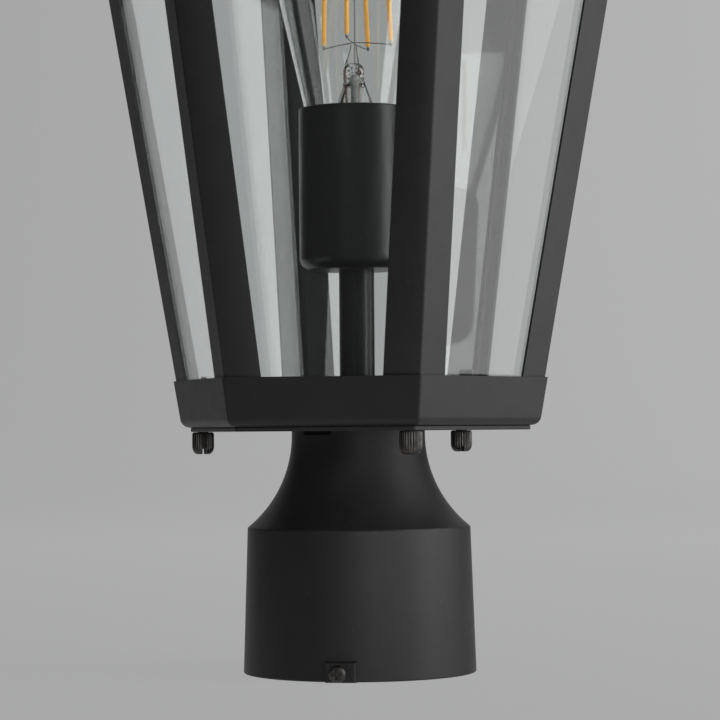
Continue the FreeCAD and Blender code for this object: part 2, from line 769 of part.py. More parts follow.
def top_frame():
    foot = CAGE_TOP - TOP_BAND_H
    under = CAGE_TOP - SHEET_T
    band = hex_frustum(tray_r(foot), foot, tray_r(CAGE_TOP), CAGE_TOP)
    corners = edges_where(band, lambda e: rises(e, foot, CAGE_TOP))
    band = band.makeFillet(TRAY_CORNER_ROUND, corners)
    band = band.cut(hex_frustum(rib_r(foot), foot, rib_r(under), under))
    band = band.cut(hex_prism(top_opening_r(), under, CAGE_TOP))
    for y in (-bridge_screw_y(), bridge_screw_y()):
        band = band.cut(cylinder(CROSS_SCREW_R + THREAD_ROOM, SHEET_T, V(0, y, under)))
    return band


def top_opening_r():
    return tray_r(CAGE_TOP) - TOP_FLANGE_W / COS30


def upper_glass_clips():
    """Angles under the top frame's flange that keep the panes against the ribs."""
    under = CAGE_TOP - SHEET_T
    clips = []
    for k in range(6):
        foot = under - TOP_CLIP_H
        face_x = pane_inside(foot) - GLASS_SEAT
        low_y = TOP_CLIP_AT - TOP_CLIP_W / 2
        high_y = TOP_CLIP_AT + TOP_CLIP_W / 2
        leg = box(V(face_x - SHEET_T, low_y, foot), V(face_x, high_y, under))
        flat = box(V(face_x - TOP_CLIP_LEG, low_y, under - SHEET_T), V(face_x, high_y, under))
        clips.append(turned(leg.fuse(flat).removeSplitter(), 60 * k + 30))
    return Part.makeCompound(clips)


def cage_stud(angle):
    top = TRAY_FLOOR + CLIP_T + STUD_HEAD_H
    foot = thumb_foot() + THUMB_END
    stud = cylinder(STUD_R, top - foot, polar(STUD_CIRCLE_R, angle, foot))
    return stud.makeChamfer(STUD_R / 4, edges_where(stud, lambda e: lies_at(e, foot)))


def thumb_foot():
    return FITTER_H - THUMB_FACE_ROOM - THUMB_H


def thumb_nut(angle):
    foot = thumb_foot()
    nut = cylinder(THUMB_R, THUMB_H, V(0, 0, foot))
    ends = edges_where(nut, lambda e: lies_at(e, foot) or lies_at(e, foot + THUMB_H))
    nut = nut.makeFillet(THUMB_ROUND, ends)
    grooves = []
    for k in range(KNURLS):
        grooves.append(cylinder(KNURL_R, THUMB_H, polar(THUMB_R, 360 / KNURLS * k, foot)))
    nut = nut.cut(Part.makeCompound(grooves))
    nut = nut.cut(cylinder(STUD_R + THUMB_BORE_ROOM, THUMB_H, V(0, 0, foot)))
    slot = box(V(-THUMB_R, -THUMB_SLOT_W / 2, foot), V(THUMB_R, THUMB_SLOT_W / 2, foot + THUMB_SLOT_D))
    nut = nut.cut(slot)
    nut.translate(V(STUD_CIRCLE_R, 0, 0))
    return turned(nut, angle)


def glass_clip(angle):
    """A foot on the tray's floor, with a hole for the stud and a tab up past the rim beside it."""
    low_x = STUD_CIRCLE_R - CLIP_IN
    top = TRAY_FLOOR + CLIP_T
    foot = box(V(low_x, -CLIP_HALF_W, TRAY_FLOOR), V(STUD_CIRCLE_R + STUD_R, CLIP_HALF_W, top))
    corners = edges_where(foot, lambda e: rises(e, TRAY_FLOOR, top) and e.BoundBox.XMax < low_x + TOUCH)
    foot = foot.makeFillet(CLIP_ROUND, corners)
    reach = (pane_inside(TRAY_FLOOR) - CLIP_GLASS_ROOM) / COS30
    foot = foot.common(hex_prism(reach, TRAY_FLOOR, top))
    tab_x = STUD_CIRCLE_R - CLIP_T
    tab_z = RIM_Z + CLIP_TAB_OVER_RIM
    tab_low = V(tab_x - CLIP_T / 2, -CLIP_HALF_W, TRAY_FLOOR)
    tab = box(tab_low, V(tab_x + CLIP_T / 2, CLIP_TAB_W - CLIP_HALF_W, tab_z))
    clip = foot.fuse(tab).removeSplitter()
    clip = clip.cut(cylinder(STUD_R + THREAD_ROOM, CLIP_T, V(STUD_CIRCLE_R, 0, TRAY_FLOOR)))
    return turned(clip, angle)


# ---------------------------------------------------------------- roof, cap and finial

def bridge_screw_y():
    return top_opening_r() * COS30 + BRIDGE_SCREW_IN


def roof_bridge():
    half = top_opening_r() * COS30 + BRIDGE_SEAT
    strip = box(V(-BRIDGE_W / 2, -half, CAGE_TOP), V(BRIDGE_W / 2, half, CAGE_TOP + BRIDGE_T))
    corners = edges_where(strip, lambda e: rises(e, CAGE_TOP, CAGE_TOP + BRIDGE_T))
    strip = strip.makeFillet(BRIDGE_T * 2, corners)
    strip = strip.cut(cylinder(ROOF_STUD_R + THREAD_ROOM, BRIDGE_T, V(0, 0, CAGE_TOP)))
    for y in (-bridge_screw_y(), bridge_screw_y()):
        strip = strip.cut(cylinder(CROSS_SCREW_R + THREAD_ROOM, BRIDGE_T, V(0, y, CAGE_TOP)))
    return strip


def bridge_screws():
    screws = []
    for y in (-bridge_screw_y(), bridge_screw_y()):
        at = V(0, y, CAGE_TOP + BRIDGE_T)
        length = BRIDGE_T + SHEET_T + CROSS_SCREW_R
        screws.append(upright_screw(CROSS_SCREW_R, length, CROSS_HEAD_R, SMALL_HEAD_H, at, True))
    return Part.makeCompound(screws)


def roof_stud():
    foot = CAGE_TOP - ROOF_NUT_H - ROOF_STUD_PAST_NUT
    return cylinder(ROOF_STUD_R, CAP_TOP + ROOF_STUD_IN_FINIAL - foot, V(0, 0, foot))


def roof_stud_nuts():
    hole = ROOF_STUD_R + THREAD_ROOM
    lower = hex_nut(ROOF_NUT_FLATS, ROOF_NUT_H, hole, CAGE_TOP - ROOF_NUT_H)
    upper = hex_nut(ROOF_NUT_FLATS, ROOF_NUT_H, hole, CAGE_TOP + BRIDGE_T)
    return Part.makeCompound([lower, upper])


def roof():
    lip_z = EAVE_Z - EAVE_LIP
    outside = hex_prism(EAVE_R, lip_z, EAVE_Z).fuse(hex_frustum(EAVE_R, EAVE_Z, ROOF_TOP_R, ROOF_TOP))
    outside = outside.removeSplitter()
    ridges = edges_where(outside, lambda e: e.BoundBox.ZMin > lip_z - TOUCH and not lies_at(e, lip_z))
    outside = outside.makeFillet(ROOF_ROUND, ridges)
    inner_r = EAVE_R - ROOF_T / COS30
    ceiling = ROOF_TOP - ROOF_T
    inner_eave = EAVE_Z + (EAVE_R - inner_r) * ROOF_PITCH - ROOF_FACE_T
    inner_top_r = inner_r - (ceiling - inner_eave) / ROOF_PITCH
    inside = hex_prism(inner_r, lip_z, inner_eave)
    inside = inside.fuse(hex_frustum(inner_r, inner_eave, inner_top_r, ceiling))
    sheet = outside.cut(inside.removeSplitter())
    sheet = sheet.cut(cylinder(ROOF_STUD_R + ROOF_STUD_HOLE_ROOM, ROOF_T, V(0, 0, ceiling)))
    for k in range(ROOF_VENTS):
        vent = cylinder(ROOF_VENT_R, ROOF_T, polar(ROOF_VENT_AT, 360 / ROOF_VENTS * k, ceiling))
        sheet = sheet.cut(vent)
    return sheet


def vent_collar():
    collar = tube(COLLAR_R, COLLAR_WALL, COLLAR_H, ROOF_TOP)
    for k in range(COLLAR_HOLES):
        drill = cylinder(COLLAR_HOLE_R, COLLAR_R + CUT_PAST, V(0, 0, ROOF_TOP + COLLAR_H / 3), V(1, 0, 0))
        collar = collar.cut(turned(drill, 360 / COLLAR_HOLES * (k + 0.5)))
    return collar


def roof_cap():
    hole_r = ROOF_STUD_R + ROOF_STUD_HOLE_ROOM
    eave = CAP_Z + CAP_LIP
    inner_r = CAP_R - CAP_T
    inner_eave = eave + (CAP_R - inner_r) * CAP_PITCH - CAP_FACE_T
    inner_top_r = inner_r - (CAP_TOP - CAP_T - inner_eave) / CAP_PITCH
    cap = lathe(
        (inner_r, CAP_Z),
        (CAP_R, CAP_Z),
        (CAP_R, eave),
        (CAP_TOP_R, CAP_TOP),
        (hole_r, CAP_TOP),
        (hole_r, CAP_TOP - CAP_T),
        (inner_top_r, CAP_TOP - CAP_T),
        (inner_r, inner_eave),
    )
    return cap.makeFillet(CAP_T * 0.8, edges_where(cap, lambda e: lies_at(e, eave) and e.Length > 2 * CAP_R))


def finial():
    base = CAP_TOP
    bore_r = ROOF_STUD_R + THREAD_ROOM
    bore_top = base + ROOF_STUD_IN_FINIAL + ROOF_STUD_END_ROOM
    cove_z = base + FINIAL_BASE_H
    neck_z = cove_z + FINIAL_COVE_H
    half_ball = math.sqrt(FINIAL_BALL_R ** 2 - FINIAL_NECK_R ** 2)
    ball_z = neck_z + FINIAL_NECK_LAND + half_ball
    ball_top = ball_z + half_ball
    throat_z = ball_top + FINIAL_THROAT_H
    bead_z = throat_z + FINIAL_BEAD_H / 2
    spire_z = throat_z + FINIAL_BEAD_H
    cove = (FINIAL_BASE_R - FINIAL_NECK_R, FINIAL_COVE_H)
    cove_mid = (FINIAL_NECK_R + cove[0] * QUARTER_IN, cove_z + cove[1] * QUARTER_IN)
    throat = (FINIAL_NECK_R - FINIAL_THROAT_R, FINIAL_THROAT_H)
    throat_mid = (FINIAL_THROAT_R + throat[0] * QUARTER_IN, ball_top + throat[1] * QUARTER_IN)
    spire_mid = ((FINIAL_SPIRE_R + FINIAL_TIP_R) / 2 + FINIAL_SPIRE_BULGE, (spire_z + FINIAL_TOP) / 2)
    return lathe(
        (0, bore_top + bore_r / 2),
        (bore_r, bore_top),
        (bore_r, base),
        (FINIAL_BASE_R, base),
        (FINIAL_BASE_R, cove_z),
        (FINIAL_NECK_R, neck_z, *cove_mid),
        (FINIAL_NECK_R, ball_z - half_ball),
        (FINIAL_NECK_R, ball_top, FINIAL_BALL_R, ball_z),
        (FINIAL_THROAT_R, throat_z, *throat_mid),
        (FINIAL_THROAT_R, spire_z, FINIAL_BEAD_R, bead_z),
        (FINIAL_SPIRE_R, spire_z),
        (FINIAL_TIP_R, FINIAL_TOP, *spire_mid),
        (0, FINIAL_TOP),
    )


# ---------------------------------------------------------------- the lantern's pieces

def build():
    save("post_fitter", post_fitter())
    save("base_plate", base_plate())
    save("ground_screw", ground_screw())
    save("toothed_washer", toothed_washer())
    pipe_hole = PIPE_R + THREAD_ROOM
    save("lower_pipe_nut", hex_nut(PIPE_NUT_FLATS, PIPE_NUT_H, pipe_hole, WEB_Z - WASHER_T - PIPE_NUT_H))
    save("upper_pipe_nut", hex_nut(PIPE_NUT_FLATS, PIPE_NUT_H, pipe_hole, CUP_FLOOR + BRACKET_T))
    save("threaded_pipe", tube(PIPE_R, PIPE_R - PIPE_BORE_R, PIPE_TOP - PIPE_FOOT, PIPE_FOOT))
    save("stem_tube", tube(STEM_R, STEM_WALL, STEM_LEN, PLATE_TOP))
    save("socket_cup", socket_cup())
    save("socket_bracket", socket_bracket())
    save("bracket_screws", bracket_screws())
    save("terminal_screws", terminal_screws())
    save("socket_insulator", socket_insulator())
    save("screw_shell", screw_shell())
    save("centre_contact", centre_contact())
    for number, angle in enumerate(SCREW_ANGLES, 1):
        save("set_screw_%d" % number, set_screw(angle))

    save("bulb_glass", bulb_glass())
    save("bulb_cap", bulb_cap())
    save("bulb_black_glass", bulb_black())
    save("bulb_tip_contact", bulb_tip())
    save("glass_mount", glass_mount())
    save("filaments", filaments())
    save("support_wires", support_wires())

    save("tray", tray())
    save("top_frame", top_frame())
    save("upper_glass_clips", upper_glass_clips())
    for k in range(6):
        save("corner_rib_%d" % (k + 1), corner_rib(60 * k))
        save("glass_pane_%d" % (k + 1), glass_pane(60 * k + 30))
    for number, angle in enumerate(STUD_ANGLES, 1):
        save("cage_stud_%d" % number, cage_stud(angle))
        save("glass_clip_%d" % number, glass_clip(angle))
        save("thumb_nut_%d" % number, thumb_nut(angle))

    save("roof_bridge", roof_bridge())
    save("bridge_screws", bridge_screws())
    save("roof_stud", roof_stud())
    save("roof_stud_nuts", roof_stud_nuts())
    save("roof", roof())
    save("vent_collar", vent_collar())
    save("roof_cap", roof_cap())
    save("finial", finial())


build()
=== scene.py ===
import json
import math

import bmesh
import bpy
from mathutils import Matrix, Vector, noise


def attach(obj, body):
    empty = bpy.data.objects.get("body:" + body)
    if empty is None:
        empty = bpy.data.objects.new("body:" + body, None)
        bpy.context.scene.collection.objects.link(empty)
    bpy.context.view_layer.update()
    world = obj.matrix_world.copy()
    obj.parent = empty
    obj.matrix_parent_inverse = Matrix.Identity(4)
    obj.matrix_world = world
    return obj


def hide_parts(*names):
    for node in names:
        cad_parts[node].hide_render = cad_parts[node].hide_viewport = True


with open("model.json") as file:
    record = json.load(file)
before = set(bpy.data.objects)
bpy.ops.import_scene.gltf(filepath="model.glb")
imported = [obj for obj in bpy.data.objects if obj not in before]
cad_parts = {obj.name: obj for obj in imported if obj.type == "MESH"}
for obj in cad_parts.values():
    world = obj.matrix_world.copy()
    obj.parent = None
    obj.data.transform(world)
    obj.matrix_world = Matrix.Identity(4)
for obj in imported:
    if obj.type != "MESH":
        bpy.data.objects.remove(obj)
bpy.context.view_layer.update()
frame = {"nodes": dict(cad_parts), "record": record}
NODES = frame["nodes"]

# ---------------------------------------------------------------- sizes and places, in metres

MM = 0.001
TINY = 1e-7  # a lathe's radius under this is a point on its axis
SMOOTH_UNDER = math.radians(35)  # sharper edges than this stay sharp

# camera, solved from the photograph
CAM_DISTANCE = 0.9378
CAM_AZIMUTH = math.radians(12.075)
CAM_HEIGHT = 0.0865
CAM_PAN = math.radians(0.05)
CAM_PITCH = math.radians(1.56)
CAM_ROLL = math.radians(-0.46)
FOCAL_PIXELS = 2599.0
FRAME_PIXELS = 720.0
SENSOR_MM = 36.0

# floor, cove and back wall
SWEEP_HALF = 0.42
SWEEP_SPREAD = (0.48, 0.28)  # how much wider for each metre of depth, on the left and on the right
SPREAD_TO = 1.7  # deeper than this, the sides run straight away from the lantern's axis
FLOOR_FRONT = -0.19
WALL_AT = 4.6
WALL_HEIGHT = 8.0
COVE_R = 1.6
COVE_STEPS = 16
# painted light on the paper: darker to the left, brighter to the right, with painted shade near
# the camera
PAPER_SHADED_LEFT = (0.456, 0.457, 0.464)
PAPER_LIT_RIGHT = (0.536, 0.537, 0.540)
PAPER_HALF = 0.8  # the painted light on the paper changes from -PAPER_HALF to PAPER_HALF
PAPER_NEAR = 0.92  # painted shade: share of its brightness that is left near the camera
PAPER_DEPTHS = (-0.2, 1.1)  # from PAPER_NEAR to full brightness
PAPER_GLOW = 0.82  # share of the paper's look that doesn't depend on the lamps

# world: seen straight or through glass, and as light on the part
WORLD_SEEN = 0.42
WORLD_LIGHT = 0.07

# lamps: degrees to the right of the camera's side, degrees up, distance, width and height,
# radiance, and whether it shows through glass
LAMP_AIM = Vector((0, 0, 0.15))
LAMPS = [
    ("key_right", 70, 5, 1.3, (0.52, 1.8), 3.3, True),
    ("side_right", 97, 5, 1.3, (0.58, 1.8), 1.5, True),
    ("fill_front", 21, -1, 2.2, (2.1, 1.7), 1.3, False),
    ("accent_left", -22.1, 23.6, 1.75, (0.28, 0.55), 1.9, True),
    ("fill_back", 175, 42, 1.5, (1.2, 0.7), 0.6, True),
]

# edges of folded sheet
SHEET_BEVEL = 0.22 * MM
SHEET_WELD = 0.002 * MM
SHEET_FLAT_UNDER = math.radians(0.5)
SHEET_SHARP_OVER = math.radians(28)
SHEET_NODES = ["tray", "top_frame", "roof", "roof_cap", "base_plate"]
SHEET_NODES += ["corner_rib_%d" % (k + 1) for k in range(6)]

# thumb nuts, in mm
STUD_CIRCLE_R = 57.985
NUT_FOOT = 78.4
NUT_H = 8.0
NUT_BORE_R = 2.06
NUT_PROFILE = [(2.2, 0.0), (2.75, 0.2), (3.2, 0.55), (3.58, 1.1), (3.85, 1.8), (4.0, 2.6),
               (4.0, 7.2), (3.88, 7.6), (3.6, 7.9), (3.3, NUT_H)]
KNURLS = 26
KNURL_STEPS = 6
KNURL_D = 0.27
KNURLED_OVER_R = 3.7
SLOT_W = 0.95
SLOT_D = 2.0
SLOT_HALF = 5.0
NUT_PLACES = [(1, 60, 8), (2, 180, 8), (3, 300, 90)]  # number, place, slot's turn from the view

# one glass clip's tab, in mm before its turn: low and high corner
CLIP_TAB = ((56.185, -5.6, 106.9), (57.385, 0.5, 109.4))
CLIP_TURN = math.radians(60)

# inside the bulb, in mm: to the camera's right, away from the camera, up
FILAMENTS = [
    ((-2.8, -11.3, 228.4), (-2.6, -9.4, 266.0)),
    ((13.0, -3.8, 226.7), (11.6, -3.2, 265.0)),
    ((4.9, 11.7, 227.2), (3.2, 9.6, 265.4)),
    ((-11.2, 3.8, 226.3), (-10.6, 3.4, 264.8)),
]
FILAMENT_R = 0.85
ROD_PROFILE = [(0, 0.45), (0.006, 0.8), (0.02, 1.0), (0.98, 1.0), (0.994, 0.8), (1, 0.45)]
TAB_PROFILE = [(0, 0.34), (0.5, 0.50), (1.5, 0.26)]  # past the rod's end, radius
BEAD_SIZES = (0.62, 0.95)
BEAD_SINK = 0.1
BEAD_TIP_R = 0.1
WIRE_R = 0.17
ARM_POINTS = 9
LEAD_R = 0.36
LEAD_PLACES = [(-3.6, 0.3), (1.5, -0.5)]
HUB_LOW = 226.6
HUB_HIGH = 266.6
PRESS_LOW = 210.8
PRESS_HIGH = 219.6
PRESS_LEVELS = 22
PRESS_SIDES = 40
PRESS_SPIKES = [(-2.9, 221.0), (1.2, 221.9)]
BUBBLES = 31
TRUMPET_WALL = 0.7
TRUMPET_PROFILE = [(12.6, 181.8), (11.2, 184.5), (9.4, 189), (8.0, 195), (7.1, 201),
                   (6.2, 206), (4.9, 209.5), (3.9, 212)]
EXHAUST_PROFILE = [(0, 184.0), (1.5, 184.0), (1.5, 211.5), (1.9, 213.2), (1.3, 215.2), (0, 215.8)]


# ---------------------------------------------------------------- small helpers

def polar(radius, angle, z):
    return Vector((radius * math.cos(angle), radius * math.sin(angle), z))


def from_bmesh(name, bm):
    mesh = bpy.data.meshes.new(name)
    bm.to_mesh(mesh)
    bm.free()
    piece = bpy.data.objects.new(name, mesh)
    bpy.context.scene.collection.objects.link(piece)
    return piece


def dress(piece, material):
    piece.data.materials.clear()
    piece.data.materials.append(material)


def shade_smooth(mesh, angle=SMOOTH_UNDER):
    for polygon in mesh.polygons:
        polygon.use_smooth = True
    mesh.set_sharp_from_angle(angle=angle)


def ring(bm, centre, along, across, radius, sides):
    """A ring of vertices round centre, in the plane of two directions."""
    verts = []
    for k in range(sides):
        turn = 2 * math.pi * k / sides
        offset = along * (radius * math.cos(turn)) + across * (radius * math.sin(turn))
        verts.append(bm.verts.new(centre + offset))
    return verts


def bridge(bm, low, high):
    """Faces between two rings."""
    count = len(low)
    for k in range(count):
        following = (k + 1) % count
        bm.faces.new((low[k], low[following], high[following], high[k]))


def swept(name, points, radius, sides):
    """A round wire along a list of points, whose radius is a number or a list of them."""
    bm = bmesh.new()
    count = len(points)
    radii = radius if isinstance(radius, list) else [radius] * count
    side = Vector((1, 0, 0))
    rings = []
    for k, point in enumerate(points):
        before = points[max(k - 1, 0)]
        after = points[min(k + 1, count - 1)]
        direction = (after - before).normalized()
        side = side - direction * side.dot(direction)
        if side.length < 0.1:
            side = direction.orthogonal()
        side.normalize()
        rings.append(ring(bm, point, side, direction.cross(side), radii[k], sides))
    for low, high in zip(rings, rings[1:]):
        bridge(bm, low, high)
    bm.faces.new(list(reversed(rings[0])))
    bm.faces.new(rings[-1])
    piece = from_bmesh(name, bm)
    shade_smooth(piece.data)
    return piece


def turned_piece(name, profile, sides, closed=False):
    """A lathe: profile is a list of (radius, z) in mm. With closed, its ends are joined."""
    bm = bmesh.new()
    rings = []
    for radius, z in profile:
        if radius * MM < TINY:
            rings.append([bm.verts.new((0, 0, z * MM))])
        else:
            spots = [polar(radius * MM, 2 * math.pi * k / sides, z * MM) for k in range(sides)]
            rings.append([bm.verts.new(spot) for spot in spots])
    pairs = list(zip(rings, rings[1:]))
    if closed:
        pairs.append((rings[-1], rings[0]))
    for low, high in pairs:
        if len(low) == 1 and len(high) == 1:
            continue
        if len(low) == 1 or len(high) == 1:
            tip, rim = (low[0], high) if len(low) == 1 else (high[0], low)
            for k in range(sides):
                bm.faces.new((rim[k], rim[(k + 1) % sides], tip))
        else:
            bridge(bm, low, high)
    bmesh.ops.recalc_face_normals(bm, faces=bm.faces)
    piece = from_bmesh(name, bm)
    shade_smooth(piece.data)
    return piece


def joined(name, pieces):
    """One piece made of several."""
    bm = bmesh.new()
    for piece in pieces:
        bm.from_mesh(piece.data)
        bpy.data.objects.remove(piece)
    whole = from_bmesh(name, bm)
    shade_smooth(whole.data)
    return whole


def placed(piece, body, slot, material, *nodes):
    """Rides a piece on its body, in place of the named nodes."""
    dress(piece, material)
    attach(piece, body)
    if nodes:
        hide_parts(*nodes)


# ---------------------------------------------------------------- materials

class Surface:
    """A node material with a Principled shader, and the few links that its look is made of."""

    def __init__(self, name, **values):
        self.material = bpy.data.materials.new(name)
        self.material.use_nodes = True
        self.tree = self.material.node_tree
        self.shader = self.tree.nodes["Principled BSDF"]
        self.output = self.tree.nodes["Material Output"]
        self.coordinates = self.tree.nodes.new("ShaderNodeTexCoord").outputs["Object"]
        for socket, value in values.items():
            self.shader.inputs[socket.replace("_", " ")].default_value = value

    def node(self, kind, **values):
        node = self.tree.nodes.new(kind)
        for key, value in values.items():
            setattr(node, key, value)
        return node

    def link(self, source, target):
        self.tree.links.new(source, target)

    def noise(self, scale, detail, roughness=0.55, stretch=None):
        node = self.node("ShaderNodeTexNoise")
        node.inputs["Scale"].default_value = scale
        node.inputs["Detail"].default_value = detail
        node.inputs["Roughness"].default_value = roughness
        source = self.coordinates
        if stretch:
            mapping = self.node("ShaderNodeMapping")
            mapping.inputs["Scale"].default_value = stretch
            self.link(source, mapping.inputs["Vector"])
            source = mapping.outputs["Vector"]
        self.link(source, node.inputs["Vector"])
        return node.outputs["Fac"]

    def ramp(self, source, stops):
        node = self.node("ShaderNodeValToRGB")
        elements = node.color_ramp.elements
        while len(elements) < len(stops):
            elements.new(0.5)
        for element, (position, colour) in zip(elements, stops):
            element.position = position
            element.color = (*colour, 1.0)
        self.link(source, node.inputs["Fac"])
        return node.outputs["Color"]

    def colour(self, source, stops):
        self.link(self.ramp(source, stops), self.shader.inputs["Base Color"])

    def mixed_colour(self, first, second, factor):
        node = self.node("ShaderNodeMix", data_type="RGBA")
        self.link(factor, node.inputs[0])
        self.link(first, node.inputs[6])
        self.link(second, node.inputs[7])
        return node.outputs[2]

    def scaled(self, source, low, high, source_low=0.3, source_high=0.7):
        node = self.node("ShaderNodeMapRange")
        node.inputs["From Min"].default_value = source_low
        node.inputs["From Max"].default_value = source_high
        node.inputs["To Min"].default_value = low
        node.inputs["To Max"].default_value = high
        self.link(source, node.inputs["Value"])
        return node.outputs["Result"]

    def rough(self, source, low, high):
        self.link(self.scaled(source, low, high), self.shader.inputs["Roughness"])

    def bump(self, *layers):
        """Layers of (source, height in metres), the coarse one first."""
        normal = None
        for source, height in layers:
            node = self.node("ShaderNodeBump")
            node.inputs["Strength"].default_value = 1.0
            node.inputs["Distance"].default_value = height
            self.link(source, node.inputs["Height"])
            if normal:
                self.link(normal, node.inputs["Normal"])
            normal = node.outputs["Normal"]
        self.link(normal, self.shader.inputs["Normal"])


def powder_coat(name, tint=1.0, roughness=(0.46, 0.50)):
    """Satin black powder coat: fine orange peel, soft mottling and a few pale specks of dust."""
    # tint scales the coat's colours; a tint under 1 makes a darker copy that is painted shade
    dark = (0.0185 * tint, 0.0185 * tint, 0.0192 * tint)
    light = (0.0225 * tint, 0.0225 * tint, 0.0233 * tint)
    speck = (0.075, 0.074, 0.072)
    surface = Surface(name, IOR=1.5)
    mottle = surface.ramp(surface.noise(90, 4), [(0.35, dark), (0.65, light)])
    dust = surface.scaled(surface.noise(900, 1.0), 0, 1, 0.775, 0.80)
    dust_colour = surface.ramp(dust, [(0.0, speck), (1.0, speck)])
    coat = surface.mixed_colour(mottle, dust_colour, dust)
    surface.link(coat, surface.shader.inputs["Base Color"])
    surface.rough(surface.noise(240, 4), *roughness)
    peel = surface.noise(420, 2)
    grain = surface.noise(1900, 2)
    surface.bump((peel, 0.003 * MM), (grain, 0.0015 * MM))
    return surface.material


def black_oxide():
    """Black oxide over steel that shows bronze where handling has thinned it."""
    surface = Surface("black_oxide_steel", Metallic=1.0)
    worn = surface.noise(520, 5, 0.65)
    surface.colour(worn, [(0.36, (0.070, 0.068, 0.066)), (0.60, (0.105, 0.099, 0.094)),
                          (0.76, (0.20, 0.155, 0.125))])
    surface.rough(surface.noise(700, 4), 0.36, 0.50)
    surface.bump((surface.noise(1500, 3), 0.006 * MM))
    return surface.material


def zinc(name, colour=(0.56, 0.57, 0.60)):
    surface = Surface(name, Metallic=1.0)
    dull = tuple(0.72 * c for c in colour)
    surface.colour(surface.noise(300, 5), [(0.3, dull), (0.7, colour)])
    surface.rough(surface.noise(500, 4), 0.24, 0.44)
    surface.bump((surface.noise(900, 3, stretch=(1, 1, 6)), 0.004 * MM))
    return surface.material


def brass():
    surface = Surface("brass", Metallic=1.0)
    surface.colour(surface.noise(260, 5), [(0.3, (0.56, 0.37, 0.13)), (0.7, (0.78, 0.57, 0.25))])
    surface.rough(surface.noise(450, 4), 0.22, 0.38)
    surface.bump((surface.noise(1200, 3), 0.003 * MM))
    return surface.material


def porcelain():
    surface = Surface("white_porcelain", Coat_Weight=0.6, Coat_Roughness=0.06)
    surface.colour(surface.noise(160, 4), [(0.3, (0.76, 0.74, 0.69)), (0.7, (0.84, 0.83, 0.79))])
    surface.rough(surface.noise(300, 3), 0.20, 0.34)
    surface.bump((surface.noise(350, 2), 0.012 * MM))
    return surface.material


def green_screw():
    surface = Surface("green_ground_screw", Metallic=0.6)
    surface.colour(surface.noise(400, 4), [(0.3, (0.012, 0.16, 0.055)), (0.7, (0.03, 0.30, 0.11))])
    surface.rough(surface.noise(500, 4), 0.28, 0.45)
    surface.bump((surface.noise(1100, 3), 0.004 * MM))
    return surface.material


def black_vitrite():
    surface = Surface("black_vitrite")
    dark = (0.010, 0.010, 0.014)
    light = (0.022, 0.021, 0.028)
    surface.colour(surface.noise(300, 4), [(0.3, dark), (0.7, light)])
    surface.rough(surface.noise(400, 3), 0.08, 0.20)
    surface.bump((surface.noise(500, 3), 0.010 * MM))
    return surface.material


def phosphor():
    """Amber phosphor of an unlit filament, softly translucent and a little grainy, with a faint
    painted glow: its own colour is also emitted, though it is no lamp.
    """
    surface = Surface("filament_phosphor", Subsurface_Weight=0.25, Subsurface_Scale=0.4 * MM)
    dark = (0.90, 0.40, 0.055)
    light = (1.0, 0.55, 0.12)
    grain = surface.ramp(surface.noise(1500, 4), [(0.3, dark), (0.7, light)])
    surface.link(grain, surface.shader.inputs["Base Color"])
    # painted glow: the unlit filament emits its own grain colour at strength 0.30
    surface.link(grain, surface.shader.inputs["Emission Color"])
    surface.shader.inputs["Emission Strength"].default_value = 0.30
    surface.shader.inputs["Subsurface Radius"].default_value = (1.0, 0.5, 0.15)
    surface.rough(surface.noise(1800, 3), 0.35, 0.55)
    surface.bump((surface.noise(2600, 3), 0.020 * MM))
    return surface.material


def glass(name, tint, ior, ripple):
    """Clear glass that lets lamps shine through it, with a faint ripple."""
    surface = Surface(name, Transmission_Weight=1.0, IOR=ior, Roughness=0.0)
    clean = tuple(min(1.0, 1.01 * c) for c in tint)
    surface.colour(surface.noise(40, 2), [(0.3, tint), (0.7, clean)])
    surface.bump((surface.noise(28, 2), ripple))
    path = surface.node("ShaderNodeLightPath")
    clear = surface.node("ShaderNodeBsdfTransparent")
    clear.inputs["Color"].default_value = (*(0.93 * c for c in tint), 1.0)
    choice = surface.node("ShaderNodeMixShader")
    surface.link(path.outputs["Is Shadow Ray"], choice.inputs[0])
    surface.link(surface.shader.outputs["BSDF"], choice.inputs[1])
    surface.link(clear.outputs["BSDF"], choice.inputs[2])
    surface.link(choice.outputs["Shader"], surface.output.inputs["Surface"])
    return surface.material


def pale_bead():
    """Silicone over a filament's end, amber going pale."""
    surface = Surface("pale_bead", Roughness=0.25)
    surface.colour(surface.noise(1400, 3), [(0.3, (0.86, 0.66, 0.42)), (0.7, (0.95, 0.90, 0.80))])
    surface.bump((surface.noise(1800, 2), 0.008 * MM))
    return surface.material


def milky_glass():
    """Ground glass, pale and lightly translucent."""
    surface = Surface("milky_glass", Transmission_Weight=0.45, IOR=1.48)
    surface.colour(surface.noise(700, 3), [(0.3, (0.78, 0.79, 0.79)), (0.7, (0.93, 0.93, 0.92))])
    surface.rough(surface.noise(900, 3), 0.22, 0.42)
    return surface.material


def copper():
    surface = Surface("copper_lead", Metallic=1.0)
    surface.colour(surface.noise(900, 3), [(0.3, (0.62, 0.30, 0.22)), (0.7, (0.86, 0.52, 0.42))])
    surface.rough(surface.noise(1200, 3), 0.24, 0.38)
    return surface.material


def bubble():
    """The mirror-like skin of gas bubbles in glass."""
    surface = Surface("press_bubble", Metallic=1.0)
    surface.colour(surface.noise(1300, 2), [(0.3, (0.70, 0.71, 0.72)), (0.7, (0.92, 0.93, 0.94))])
    surface.rough(surface.noise(1500, 2), 0.05, 0.16)
    return surface.material


